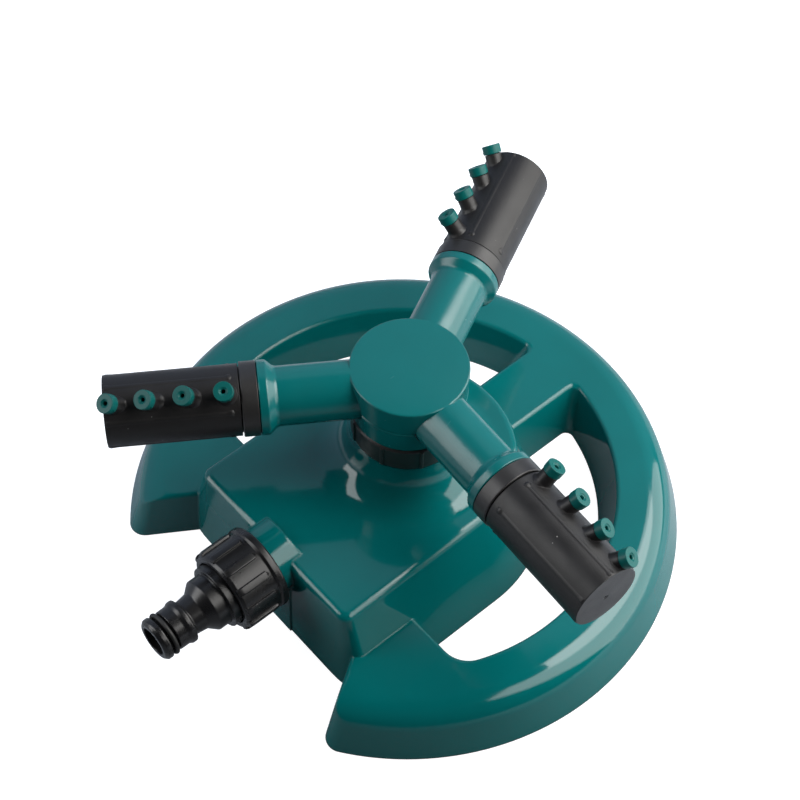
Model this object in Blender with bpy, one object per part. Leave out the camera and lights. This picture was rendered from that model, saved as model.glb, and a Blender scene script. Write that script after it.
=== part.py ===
"""Three-arm rotary lawn sprinkler: base shell, rotor with three twisting spray tubes, hose connector.

Millimetres in the functions below, metres in the scene. The rotor turns about the Z axis through the
origin, the ground is z = 0 and the hose inlet points along -Y.
"""

import math

import bmesh
import bpy
from mathutils import Matrix, Vector

MM = 0.001

# Base: ring, box and hub
SLOPE = 0.313            # wall draft, mm outwards per mm down
WALL = 2.4
RING_TOP = 20.5
RING_GROUND_R = 105.0
RING_FILLET = 11.0
RING_FILLET_R = 90.4     # radius at which the flat top ends
RING_INNER_R = 79.5
RING_INNER_DRAFT = 0.255
LIP = 1.6                # fillet round the windows and the ring ends
END_ANGLE = 55.2         # half opening of the horseshoe, from +X towards -Y
END_DRAFT = 0.14
END_CORNER = 6.0
WINDOW_FRONT = -36.5
WINDOW_CORNER = 11.0
SPOKE_LEFT = -14.0
SPOKE_RIGHT = 9.8
BOX_TOP = 40.5
BOX_HALF = 40.5
BOX_FRONT = -64.1
FRONT_SLOPE = 0.064
BOX_CORNER = 4.0
BOX_FILLET = 3.0
# Riser, with the flared boss round it
BOSS_FOOT_R = 35.0
BOSS_TOP_R = 20.2
BOSS_TOP = 57.5
RISER_R = 17.3
RISER_TOP = 62.0
RISER_BORE = 10.8
RISER_WALL_R = 13.2
# Hose inlet
PIPE_Z = 32.0
PIPE_R = 13.2
PIPE_BACK = -57.3
PIPE_END = -79.0
PIPE_BORE = 9.0
PIPE_STEP = -61.0        # where the bore narrows to that of the inner water pipe
WATER_R = 7.6
WATER_BORE = 5.6
THREAD_START = -69.4
THREAD_ROOT = 12.1
THREAD_CREST = 13.15
THREAD_PITCH = 1.814
THREAD_TURNS = 3.9
# Rotor
ARM_Z = 81.4
ARM_ANGLES = {"a": 116.3, "b": 236.3, "c": 356.3}
ARM_TWIST = {"a": 39.0, "b": 26.0, "c": 35.0}
ARM_R = 10.6
ARM_BORE = 7.6
FLANGE_R = 13.2
HEAD_TOP = 92.2
HEAD_R = 21.1
HEAD_SEAM = 80.6
TUBE_R = 12.66
TUBE_BORE = 10.6
TUBE_START = 59.2
TUBE_END = 105.7
# Nozzles: where each stub's axis crosses the tube's, and its lean outwards
STUB_AT = (62.2, 71.9, 82.5, 93.6)
STUB_LEAN = (7.0, 19.0, 27.5, 32.5)
STUB_R = 3.15
SPIGOT_R = 2.5           # end of the stub, inside the tip
STUB_LENGTH = 18.8
TIP_R = 3.45
TIP_BACK = 17.4
TIP_FRONT = 20.7

for thing in list(bpy.data.objects):
    bpy.data.objects.remove(thing, do_unlink=True)

PART = bpy.data.collections.new("sprinkler")
bpy.context.scene.collection.children.link(PART)


# ---------------------------------------------------------------- helpers
def material(name, colour, roughness):
    made = bpy.data.materials.new(name)
    made.use_nodes = True
    shader = made.node_tree.nodes["Principled BSDF"]
    shader.inputs["Base Color"].default_value = (*colour, 1.0)
    shader.inputs["Roughness"].default_value = roughness
    shader.inputs["Metallic"].default_value = 0.0
    made.diffuse_color = (*colour, 1.0)
    return made


GREEN = (0.004, 0.105, 0.098)
BLACK = (0.012, 0.012, 0.013)
RUBBER = (0.008, 0.008, 0.008)


def obj_of(name, bm):
    """A new object from a bmesh in millimetres, its faces pointing out."""
    bmesh.ops.remove_doubles(bm, verts=bm.verts, dist=1e-4)
    bmesh.ops.recalc_face_normals(bm, faces=bm.faces)
    bmesh.ops.scale(bm, vec=(MM, MM, MM), verts=bm.verts)
    mesh = bpy.data.meshes.new(name)
    bm.to_mesh(mesh)
    bm.free()
    made = bpy.data.objects.new(name, mesh)
    PART.objects.link(made)
    return made


def loft(loops, closed=False, matrix=None):
    """Quads between loops of equally many points; the ends are capped unless the loft is closed."""
    bm = bmesh.new()
    matrix = matrix or Matrix()
    rows = [[bm.verts.new(matrix @ Vector(p)) for p in loop] for loop in loops]
    count = len(rows[0])
    pairs = list(zip(rows, rows[1:]))
    if closed:
        pairs.append((rows[-1], rows[0]))
    for low, high in pairs:
        for i in range(count):
            j = (i + 1) % count
            bm.faces.new((low[i], low[j], high[j], high[i]))
    if not closed:
        bm.faces.new(rows[0][::-1])
        bm.faces.new(rows[-1])
    return bm


def lathe(profile, segments, closed=True, matrix=None):
    """Turns (radius, height) points round the local Z axis."""
    loops = []
    for radius, height in profile:
        loop = []
        for i in range(segments):
            angle = 2 * math.pi * i / segments
            loop.append((radius * math.cos(angle), radius * math.sin(angle), height))
        loops.append(loop)
    return loft(loops, closed, matrix)


def box(x0, x1, y0, y1, z0, z1, matrix=None):
    loop = [(x0, y0), (x1, y0), (x1, y1), (x0, y1)]
    return loft([[(x, y, z) for x, y in loop] for z in (z0, z1)], matrix=matrix)


def combine(target, tool, operation):
    """Joins or cuts with the EXACT solver, keeps the result and drops the tool."""
    step = target.modifiers.new("Boolean", "BOOLEAN")
    step.operation = operation
    step.solver = "EXACT"
    step.object = tool
    graph = bpy.context.evaluated_depsgraph_get()
    result = bpy.data.meshes.new_from_object(target.evaluated_get(graph))
    target.modifiers.clear()
    target.data = result
    bpy.data.objects.remove(tool, do_unlink=True)


def add(target, bm):
    combine(target, obj_of("tool", bm), "UNION")


def cut(target, bm):
    combine(target, obj_of("tool", bm), "DIFFERENCE")


def finish(made, colour, roughness, pivot=(0.0, 0.0, 0.0), frame=None):
    """Material, smooth shading with sharp creases, and the origin on the joint axis."""
    mesh = made.data
    mesh.materials.clear()
    mesh.materials.append(material(made.name, colour, roughness))
    bm = bmesh.new()
    bm.from_mesh(mesh)
    bmesh.ops.dissolve_degenerate(bm, edges=bm.edges, dist=1e-7)
    for face in bm.faces:
        face.smooth = True
        face.material_index = 0
    for edge in bm.edges:
        edge.smooth = edge.is_manifold and edge.calc_face_angle(0.0) < math.radians(35)
    place = frame or Matrix.Translation(Vector(pivot) * MM)
    if frame is None:
        bmesh.ops.transform(bm, matrix=place.inverted(), verts=bm.verts)
    bm.to_mesh(mesh)
    bm.free()
    made.matrix_world = place


def arc(centre, radius, start, stop, steps):
    """Points on a circle, both ends included, angles in degrees."""
    found = []
    for i in range(steps + 1):
        angle = math.radians(start + (stop - start) * i / steps)
        found.append((centre[0] + radius * math.cos(angle), centre[1] + radius * math.sin(angle)))
    return found


# ---------------------------------------------------------------- base shell
def ring_levels(inset):
    """(ring radius, ring z, end offset, end z) of each loop of the horseshoe, from the ground up."""
    draft = math.atan(SLOPE)
    ground = RING_GROUND_R - inset / math.cos(draft)
    top = RING_TOP - inset
    end = inset / math.cos(math.atan(END_DRAFT))
    levels = []
    if inset:
        levels.append((ground + SLOPE, -1.0, end - END_DRAFT, -1.0))
    else:
        levels.append((ground, 0.0, end, 0.0))
    steps = 3
    for i in range(steps + 1):
        turn = i / steps
        angle = draft + (math.pi / 2 - draft) * turn
        radius = RING_FILLET - inset
        lip = max(LIP - inset, 0.4)
        rise = math.atan(END_DRAFT) + (math.pi / 2 - math.atan(END_DRAFT)) * turn
        levels.append((
            RING_FILLET_R + radius * math.cos(angle),
            RING_TOP - RING_FILLET + radius * math.sin(angle),
            end + END_DRAFT * (top - lip) + lip * (1 - math.cos(rise)),
            top - lip + lip * math.sin(rise),
        ))
    return levels


def horseshoe_loop(ring_r, ring_z, end_e, end_z, steps=38):
    """One closed loop: outer arc, rounded ends, and a chord hidden inside the box."""
    tilt = math.degrees(math.atan(END_DRAFT * RING_TOP / RING_INNER_R))
    line = math.radians(-END_ANGLE - tilt)
    along = Vector((math.cos(line), math.sin(line)))
    inward = Vector((-along.y, along.x))
    corner = END_CORNER
    reach = math.sqrt((ring_r - corner) ** 2 - (end_e + corner) ** 2)
    centre = along * reach + inward * (end_e + corner)
    first = math.degrees(math.atan2(centre.y, centre.x))
    last = math.degrees(math.atan2(-inward.y, -inward.x))
    if last > first:
        last -= 360.0
    right = []
    for i, (x, y) in enumerate(arc(centre, corner, last, first, 3)):
        share = i / 3
        right.append((x, y, end_z + (ring_z - end_z) * share * share * (3 - 2 * share)))
    inner = along * 66.0 + inward * end_e
    right.insert(0, (inner.x, inner.y, end_z))
    ring = [(x, y, ring_z) for x, y in arc((0, 0), ring_r, first, 180.0 - first, steps)[1:-1]]
    left = [(-x, y, z) for x, y, z in reversed(right)]
    return right + ring + left


def window_loop(side, grow, z, steps=12):
    """A window between hub and ring; grow widens it all round."""
    radius = RING_INNER_R + grow
    front = WINDOW_FRONT - grow
    spoke = (SPOKE_RIGHT if side > 0 else -SPOKE_LEFT) - grow
    near = WINDOW_CORNER
    far = 3.0
    first = Vector((math.sqrt((radius - near) ** 2 - (front + near) ** 2), front + near))
    second = Vector((spoke + far, math.sqrt((radius - far) ** 2 - (spoke + far) ** 2)))
    turn = math.degrees(math.atan2(first.y, first.x))
    back = math.degrees(math.atan2(second.y, second.x))
    loop = [(26.0, front), *arc(first, near, -90.0, turn, 3)]
    loop += arc((0, 0), radius, turn, back, steps)[1:-1]
    loop += [*arc(second, far, back, 180.0, 2), (spoke, 27.0)]
    return [(side * x, y, z) for x, y in loop]


def window_levels(side, inset):
    """Loops of one window from the ground up, with its rounded lip on the outer skin."""
    if inset:
        return [
            window_loop(side, inset - RING_INNER_DRAFT * (RING_TOP + 1.0), -1.0),
            window_loop(side, inset, RING_TOP - inset),
        ]
    loops = [window_loop(side, -RING_INNER_DRAFT * (RING_TOP - LIP), 0.0)]
    for i in range(3):
        angle = math.pi / 2 * i / 2
        grow = LIP * (1 - math.cos(angle))
        loops.append(window_loop(side, grow, RING_TOP - LIP + LIP * math.sin(angle)))
    return loops


def slab(inset):
    """The horseshoe, its webs and the spoke, with both windows."""
    bm = bmesh.new()
    skins = [[horseshoe_loop(*level) for level in ring_levels(inset)]]
    skins += [window_levels(side, inset) for side in (1, -1)]
    bottoms = []
    tops = []
    for loops in skins:
        rows = [[bm.verts.new(p) for p in loop] for loop in loops]
        count = len(rows[0])
        for low, high in zip(rows, rows[1:]):
            for i in range(count):
                j = (i + 1) % count
                bm.faces.new((low[i], low[j], high[j], high[i]))
        for row, ends in ((rows[0], bottoms), (rows[-1], tops)):
            ends.extend(bm.edges.get((row[i], row[(i + 1) % count])) for i in range(count))
    for ends in (bottoms, tops):
        bmesh.ops.triangle_fill(bm, use_beauty=True, use_dissolve=False, edges=ends)
    return bm


def box_loop(side_out, front_out, z):
    """Box front and straight sides, then the half circle of the hub; the offsets grow it."""
    centre = (BOX_HALF - BOX_CORNER, BOX_FRONT + BOX_CORNER)
    corner = []
    for x, y in arc((0, 0), 1.0, -90.0, 0.0, 3):
        corner.append((centre[0] + (BOX_CORNER + side_out) * x, centre[1] + (BOX_CORNER + front_out) * y))
    hub = arc((0, 0), BOX_HALF + side_out, 0.0, 180.0, 20)
    left = [(-x, y) for x, y in reversed(corner)]
    return [(x, y, z) for x, y in corner + hub + left]


def boss_profile(inset):
    """(radius, z) of the flared boss from its foot up, a concave quarter ellipse."""
    wide = BOSS_FOOT_R - BOSS_TOP_R
    tall = BOSS_TOP - BOX_TOP
    found = []
    for i in range(6):
        angle = math.pi / 2 * i / 5
        radius = BOSS_FOOT_R - wide * math.sin(angle) - inset
        found.append((radius, BOX_TOP + tall * (1 - math.cos(angle)) - inset))
    return found


def block(inset):
    """Box, hub and flared boss as one closed skin."""
    draft = math.atan(SLOPE)
    front_draft = math.atan(FRONT_SLOPE)
    top = BOX_TOP - inset
    radius = max(BOX_FILLET - inset, 0.6)
    loops = []
    low = -1.0 if inset else 0.0
    side_in = inset / math.cos(draft)
    front_in = inset / math.cos(front_draft)
    loops.append(box_loop(SLOPE * (BOX_TOP - low) - side_in, FRONT_SLOPE * (BOX_TOP - low) - front_in, low))
    steps = 2
    side_edge = -inset / math.cos(draft) + SLOPE * inset
    front_edge = -inset / math.cos(front_draft) + FRONT_SLOPE * inset
    side_c = side_edge - radius * (1 / math.cos(draft) - SLOPE)
    front_c = front_edge - radius * (1 / math.cos(front_draft) - FRONT_SLOPE)
    for i in range(steps + 1):
        angle = draft + (math.pi / 2 - draft) * i / steps
        height = top - radius + radius * math.sin(angle)
        reach = radius * math.cos(angle)
        loops.append(box_loop(side_c + reach, front_c + reach, height))
    bm = bmesh.new()
    rows = [[bm.verts.new(p) for p in loop] for loop in loops]
    profile = boss_profile(inset)
    if not inset:
        profile += [(RISER_R + 0.8, BOSS_TOP), (RISER_R, BOSS_TOP + 0.6), (RISER_R, RISER_TOP - 0.5)]
        profile += [(RISER_R - 0.5, RISER_TOP)]
    segments = 28
    turned = []
    for r, z in profile:
        ring = []
        for i in range(segments):
            angle = 2 * math.pi * i / segments
            ring.append(bm.verts.new((r * math.cos(angle), r * math.sin(angle), z)))
        turned.append(ring)
    for stack in (rows, turned):
        count = len(stack[0])
        for below, above in zip(stack, stack[1:]):
            for i in range(count):
                j = (i + 1) % count
                bm.faces.new((below[i], below[j], above[j], above[i]))
    bm.faces.new(rows[0][::-1])
    bm.faces.new(turned[-1])
    edges = []
    for ring in (rows[-1], turned[0]):
        for i in range(len(ring)):
            ends = (ring[i], ring[(i + 1) % len(ring)])
            edges.append(bm.edges.get(ends) or bm.edges.new(ends))
    bmesh.ops.triangle_fill(bm, use_beauty=True, use_dissolve=False, edges=edges)
    return bm


def inlet_pipe():
    """Outside of the hose inlet: its back end leans like the other walls."""
    loops = []
    for radius, y, lean in (
        (THREAD_ROOT - 0.6, PIPE_END, 0.0),
        (THREAD_ROOT, PIPE_END + 0.6, 0.0),
        (THREAD_ROOT, THREAD_START, 0.0),
        (PIPE_R, THREAD_START + 0.4, 0.0),
        (PIPE_R, PIPE_BACK, 0.27),
    ):
        loop = []
        for i in range(24):
            angle = 2 * math.pi * i / 24
            x = radius * math.cos(angle)
            z = PIPE_Z + radius * math.sin(angle)
            loop.append((x, y - lean * (z - BOX_TOP), z))
        loops.append(loop)
    return loft(loops)


def thread(steps=9):
    """Right-hand helical ridge on the hose inlet."""
    loops = []
    total = int(THREAD_TURNS * steps)
    for i in range(total + 1):
        angle = 2 * math.pi * i / steps
        y = PIPE_END + 0.9 + THREAD_PITCH * i / steps
        fade = min(1.0, i / (0.5 * steps), (total - i) / (0.5 * steps))
        crest = THREAD_ROOT - 0.2 + (THREAD_CREST - THREAD_ROOT + 0.2) * max(fade, 0.05)
        loop = []
        for radius, shift in ((THREAD_ROOT - 0.5, -0.62), (crest, -0.2), (crest, 0.2), (THREAD_ROOT - 0.5, 0.62)):
            loop.append((radius * math.sin(angle), y + shift, PIPE_Z + radius * math.cos(angle)))
        loops.append(loop)
    return loft(loops)


def along_y(y, z=PIPE_Z):
    """Local Z runs along -Y from (0, y, z)."""
    return Matrix.Translation((0, y, z)) @ Matrix.Rotation(math.pi / 2, 4, "X")


def build_base():
    shell = obj_of("base_shell", slab(0.0))
    add(shell, block(0.0))
    cavity = obj_of("cavity", slab(WALL))
    add(cavity, block(WALL))
    combine(shell, cavity, "DIFFERENCE")
    add(shell, inlet_pipe())
    add(shell, lathe([(WATER_R, 0.0), (WATER_R, 62.0)], 16, closed=False, matrix=along_y(-1.0)))
    add(shell, lathe([(5.4, 0.0), (6.0, 0.6), (6.0, 14.0), (RISER_WALL_R, 18.0), (RISER_WALL_R, 58.0)],
                     20, closed=False))
    panel = [[(s * half, y, z) for s, y in ((-1, back), (1, back), (1, out), (-1, out))]
             for half, out, back, z in ((13.7, -67.2, -65.2, 0.0), (11.6, -65.2, -63.2, PIPE_Z))]
    add(shell, loft(panel))
    for low, high, thick, turn in ((10.5, 42.3, 1.7, 0.0), (10.5, 42.3, 1.7, 180.0), (10.5, 86.0, 1.7, 91.5)):
        rib = box(low, high, -thick / 2, thick / 2, 6.0, 32.0 if high < 50 else 19.0,
                  matrix=Matrix.Rotation(math.radians(turn), 4, "Z"))
        add(shell, rib)
    add(shell, thread())
    for radius, start, stop in ((PIPE_BORE, -PIPE_STEP, 84.0), (WATER_BORE, 0.0, 70.0)):
        cut(shell, lathe([(radius, start), (radius, stop)], 16, closed=False, matrix=along_y(0.0)))
    cut(shell, lathe([(RISER_BORE, 21.0), (RISER_BORE, 70.0)], 20, closed=False))
    finish(shell, GREEN, 0.22)


# ---------------------------------------------------------------- rotor bearing
def build_bearing():
    nut = obj_of("ring_nut", lathe([
        (18.0, 58.0), (20.1, 58.0), (20.6, 58.5), (20.6, 68.3), (19.9, 69.0), (9.3, 69.0), (9.3, 65.9), (18.0, 65.9),
    ], 32))
    for i in range(9):
        angle = math.radians(-27.4 + 40.0 * i)
        add(nut, box(19.6, 21.2, -0.65, 0.65, 58.5, 68.3, matrix=Matrix.Rotation(angle, 4, "Z")))
    finish(nut, BLACK, 0.42)

    washer = obj_of("thrust_washer", lathe([(11.2, 62.3), (16.6, 62.3), (16.6, 62.9), (11.2, 62.9)], 24))
    finish(washer, (0.75, 0.75, 0.72), 0.4)

    spindle = obj_of("spindle", lathe([
        (5.2, 50.0), (10.3, 50.0), (10.3, 53.4), (8.3, 53.4), (8.3, 56.0), (10.3, 56.0), (10.3, 63.2),
        (16.4, 63.2), (16.4, 65.5), (8.8, 65.5), (8.8, 69.0), (7.0, 69.0), (7.0, 73.6), (5.2, 73.6),
    ], 16))
    finish(spindle, BLACK, 0.35)

    seal = obj_of("spindle_seal", torus(9.45, 0.8, 54.7, 16, ring=6))
    finish(seal, RUBBER, 0.7)


def torus(major, minor, height, segments, matrix=None, ring=8):
    profile = []
    for i in range(ring):
        angle = 2 * math.pi * i / ring
        profile.append((major + minor * math.cos(angle), height + minor * math.sin(angle)))
    return lathe(profile, segments, matrix=matrix)


# ---------------------------------------------------------------- rotor
def arm_frame(name, twist=0.0):
    """Local X along the arm, local Z up, turned by the twist towards the arm's leading side."""
    turn = Matrix.Rotation(math.radians(ARM_ANGLES[name]), 4, "Z")
    roll = Matrix.Rotation(math.radians(-twist), 4, "X")
    return Matrix.Translation((0, 0, ARM_Z)) @ turn @ roll


def to_x():
    """Turns a lathe's Z axis on to X."""
    return Matrix.Rotation(math.pi / 2, 4, "Y")


def build_rotor():
    head = obj_of("rotor_head", lathe([
        (20.95, HEAD_SEAM), (HEAD_R, HEAD_TOP - 0.9), (HEAD_R - 0.25, HEAD_TOP - 0.3), (HEAD_R - 0.85, HEAD_TOP),
    ], 40, closed=False))
    for name in ARM_ANGLES:
        arm = lathe([
            (ARM_R, 14.0), (ARM_R, 46.3), (11.0, 47.2), (12.9, 49.3), (FLANGE_R, 49.8), (FLANGE_R, 52.7),
            (12.35, 52.7), (12.35, 54.6), (10.2, 54.6), (10.2, 60.6), (8.9, 60.6), (8.9, 62.6), (10.2, 62.6),
            (10.2, 65.0),
        ], 16, closed=False, matrix=arm_frame(name) @ to_x())
        add(head, arm)
    cut(head, lathe([(18.4, 60.0), (18.4, HEAD_TOP - 2.5)], 28, closed=False))
    for name in ARM_ANGLES:
        cut(head, lathe([(ARM_BORE, 12.0), (ARM_BORE, 70.0)], 12, closed=False, matrix=arm_frame(name) @ to_x()))
    finish(head, GREEN, 0.2, pivot=(0, 0, ARM_Z))

    cover = obj_of("rotor_lower_cover", lathe([
        (7.3, 69.3), (19.9, 69.3), (20.3, 69.7), (20.9, 80.3), (18.3, 80.3), (18.1, 71.5), (7.3, 71.5),
    ], 40))
    for name in ARM_ANGLES:
        cut(cover, lathe([(ARM_R + 0.4, 13.0), (ARM_R + 0.4, 30.0)], 16, closed=False, matrix=arm_frame(name) @ to_x()))
    finish(cover, GREEN, 0.2, pivot=(0, 0, 69.3))

    for name in ARM_ANGLES:
        turn = Matrix.Rotation(math.radians(ARM_ANGLES[name]), 4, "Z")
        frame = Matrix.Translation(Vector((0, 0, ARM_Z)) * MM) @ turn
        collar = obj_of("tube_collar_" + name, lathe([
            (12.75, 53.0), (13.2, 53.0), (13.2, 58.5), (12.95, 58.8), (11.9, 58.8), (11.9, 57.75), (12.75, 57.75),
        ], 20, matrix=to_x()))
        finish(collar, BLACK, 0.4, frame=frame)
        ring = obj_of("arm_o_ring_" + name, torus(9.75, 0.6, 61.6, 16, to_x(), 6))
        finish(ring, RUBBER, 0.7, frame=frame)


# ---------------------------------------------------------------- spray tubes and nozzle tips
def stub_frame(number):
    """Local Z along the stub, from the tube's axis; twisted tubes point it up and forward."""
    place = Matrix.Translation((STUB_AT[number], 0, 0))
    return place @ Matrix.Rotation(math.radians(STUB_LEAN[number]), 4, "Y")


def build_tubes():
    for name in ARM_ANGLES:
        frame = arm_frame(name, ARM_TWIST[name])
        frame.translation *= MM
        tube = obj_of("spray_tube_" + name, lathe([
            (TUBE_BORE, 55.0), (12.35, 55.0), (12.35, 57.4), (11.5, 57.4), (11.5, TUBE_START), (TUBE_R, TUBE_START),
            (TUBE_R, TUBE_END - 0.3), (TUBE_R - 0.3, TUBE_END), (0.6, TUBE_END),
            (0.6, TUBE_END - 2.2), (TUBE_BORE, TUBE_END - 2.2),
        ], 24, matrix=to_x()))
        plug = lathe([(1.2, TUBE_END - 1.9), (1.2, TUBE_END - 0.3)], 8, closed=False, matrix=to_x())
        add(tube, plug)
        for number in range(4):
            stub = [(STUB_R, 11.4), (STUB_R, TIP_BACK - 0.15), (SPIGOT_R, TIP_BACK - 0.15), (SPIGOT_R, STUB_LENGTH)]
            add(tube, lathe(stub, 10, closed=False, matrix=stub_frame(number)))
            cut(tube, lathe([(1.3, 8.0), (1.3, 24.0)], 6, closed=False, matrix=stub_frame(number)))
        finish(tube, BLACK, 0.4, frame=frame)
        for number in range(4):
            tip = obj_of(f"nozzle_tip_{name}{number + 1}", lathe([
                (SPIGOT_R + 0.3, TIP_BACK), (TIP_R, TIP_BACK), (TIP_R, TIP_FRONT - 0.3),
                (TIP_R - 0.3, TIP_FRONT), (1.3, TIP_FRONT), (0.6, TIP_FRONT - 0.6),
                (0.6, STUB_LENGTH + 0.3), (SPIGOT_R + 0.3, STUB_LENGTH + 0.3),
            ], 10, matrix=stub_frame(number)))
            finish(tip, (0.006, 0.17, 0.16), 0.3, frame=frame.copy())


# ---------------------------------------------------------------- hose connector
def build_connector():
    nut = obj_of("coupling_nut", lathe([
        (13.7, 68.2), (15.6, 68.2), (16.3, 68.8), (16.3, 71.0), (15.5, 71.6), (15.4, 85.3), (14.5, 86.5),
        (12.6, 86.5), (12.6, 83.6), (13.7, 83.6),
    ], 24, matrix=along_y(0.0)))
    for i in range(12):
        turn = Matrix.Rotation(math.radians(10.0 + 30.0 * i), 4, "Y")
        frame = Matrix.Translation((0, 0, PIPE_Z)) @ turn
        add(nut, box(-1.3, 1.3, -85.9, -72.6, 14.6, 16.4, matrix=frame))
    finish(nut, BLACK, 0.4, pivot=(0, -77.0, PIPE_Z))

    nipple = obj_of("connector_nipple", lathe([
        (8.0, 81.2), (13.2, 81.2), (13.2, 83.2), (12.2, 83.2), (12.2, 89.4), (10.2, 89.4), (10.2, 94.3),
        (7.3, 97.6), (6.7, 102.3), (8.5, 103.2), (8.5, 104.8), (7.8, 106.0), (7.75, 109.8), (6.6, 110.1),
        (6.6, 112.8), (8.2, 113.4), (8.2, 115.2), (7.0, 116.4), (5.5, 116.4), (5.5, 92.0),
    ], 16, matrix=along_y(0.0)))
    finish(nipple, BLACK, 0.4, pivot=(0, -98.0, PIPE_Z))

    washer = obj_of("connector_washer", lathe([(9.2, 79.3), (12.9, 79.3), (12.9, 80.9), (9.2, 80.9)],
                                              24, matrix=along_y(0.0)))
    finish(washer, RUBBER, 0.7, pivot=(0, -80.1, PIPE_Z))

    ring = obj_of("connector_o_ring", torus(7.6, 0.8, 111.45, 16, along_y(0.0), 6))
    finish(ring, RUBBER, 0.55, pivot=(0, -111.45, PIPE_Z))


build_base()
build_bearing()
build_rotor()
build_tubes()
build_connector()
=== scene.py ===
"""Looks of the three-arm lawn sprinkler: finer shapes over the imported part, plastics, studio and camera.

Shapes are made in millimetres in the part's own frame and scaled to metres.
"""

import math

import bmesh
import bpy
from mathutils import Matrix, Vector


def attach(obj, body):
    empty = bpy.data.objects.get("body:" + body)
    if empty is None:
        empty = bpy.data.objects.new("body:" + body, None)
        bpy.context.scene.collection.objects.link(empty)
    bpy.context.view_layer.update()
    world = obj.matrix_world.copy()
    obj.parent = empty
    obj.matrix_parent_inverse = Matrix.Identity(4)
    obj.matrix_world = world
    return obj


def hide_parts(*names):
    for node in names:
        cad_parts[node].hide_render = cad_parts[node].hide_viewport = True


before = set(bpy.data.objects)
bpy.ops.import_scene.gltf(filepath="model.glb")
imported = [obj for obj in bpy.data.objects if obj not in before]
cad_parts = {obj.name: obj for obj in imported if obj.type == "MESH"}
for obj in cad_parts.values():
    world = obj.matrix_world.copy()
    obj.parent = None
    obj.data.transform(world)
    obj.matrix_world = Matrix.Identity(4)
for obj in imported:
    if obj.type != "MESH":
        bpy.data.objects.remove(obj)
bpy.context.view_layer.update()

MM = 0.001
LOOKS = bpy.data.collections.new("looks")
bpy.context.scene.collection.children.link(LOOKS)

# Base
SLOPE, WALL = 0.313, 2.4
RING_TOP, RING_GROUND_R, RING_FILLET, RING_FILLET_R = 20.5, 105.0, 11.0, 90.4
RING_INNER_R, RING_INNER_DRAFT, LIP = 79.5, 0.255, 1.6
END_ANGLE, END_DRAFT, END_CORNER, END_HIDDEN = 55.2, 0.14, 6.0, 66.0
WINDOW_FRONT, WINDOW_CORNER, SPOKE_LEFT, SPOKE_RIGHT = -36.5, 11.0, -14.0, 9.8
BOX_TOP, BOX_HALF, BOX_FRONT, FRONT_SLOPE, BOX_CORNER, BOX_FILLET = 40.5, 40.5, -64.1, 0.064, 4.0, 3.0
BOSS_FOOT_R, BOSS_TOP_R, BOSS_TOP, RISER_R, RISER_TOP = 35.0, 20.2, 57.5, 17.3, 62.0
RISER_BORE, RISER_WALL_R = 10.8, 13.2
PIPE_Z, PIPE_R, PIPE_BACK, PIPE_END, PIPE_BORE, PIPE_STEP = 32.0, 13.2, -57.3, -79.0, 9.0, -61.0
WATER_R, WATER_BORE = 7.6, 5.6
PIPE_LEAN = 0.27                        # the inlet's back end reaches further back lower down
THREAD_START, THREAD_ROOT, THREAD_CREST, THREAD_PITCH, THREAD_TURNS = -69.4, 12.1, 13.15, 1.814, 3.9
STIFFENER, STIFFENER_FOOT, STIFFENER_START = 1.7, 6.0, 10.5
# Bearing
NUT_R, NUT_BOTTOM, NUT_TOP, NUT_RIBS, NUT_RIB_START = 20.6, 58.0, 69.0, 9, -27.4
# Rotor and tubes
ARM_Z = 81.4
ARM_ANGLES = {"a": 116.3, "b": 236.3, "c": 356.3}
ARM_TWIST = {"a": 39.0, "b": 26.0, "c": 35.0}
ARM_R, ARM_BORE = 10.6, 7.6
FLANGE_R, FLANGE_START, FLANGE_END = 13.2, 49.8, 52.7
SEAT_R, SEAT_END = 12.35, 54.6          # shoulder inside the collar, as wide as the tube's rim there
NECK_R, NECK_END = 10.2, 65.0           # end of the arm, inside the tube
GROOVE_R, GROOVE_START, GROOVE_END = 8.9, 60.6, 62.6
HEAD_TOP, HEAD_R, HEAD_SEAM, HEAD_EDGE, HEAD_RISE = 92.2, 21.1, 80.6, 0.55, 0.6
HEAD_HOLLOW_R, HEAD_HOLLOW_TOP = 18.4, 89.7
COVER_TOP = 80.35
TUBE_R, TUBE_BORE, TUBE_START, TUBE_END = 12.66, 10.6, 59.2, 105.7
STUB_AT, STUB_LEAN = (62.2, 71.9, 82.5, 93.6), (7.0, 19.0, 27.5, 32.5)
STUB_R, SPIGOT_R, STUB_LENGTH, STUB_BORE = 3.15, 2.5, 18.8, 1.3
TIP_R, TIP_INNER_R, TIP_BACK, TIP_FRONT, TIP_HOLE = 3.45, 2.8, 17.4, 20.7, 0.75
BEADS, BEAD_HALF, BEAD_HEIGHT, BEAD_ROOT = 6, 1.15, 0.19, 0.35
# Hose connector
COUPLING_RIBS, COUPLING_RIB_START = 12, 10.0
# Camera
LENS, SENSOR = 85.56, 36.0
AIM, DISTANCE = (-18.28, 12.69, 40.0), 712.4
TURN, RISE, ROLL = 47.61, 54.98, -1.89


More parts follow.
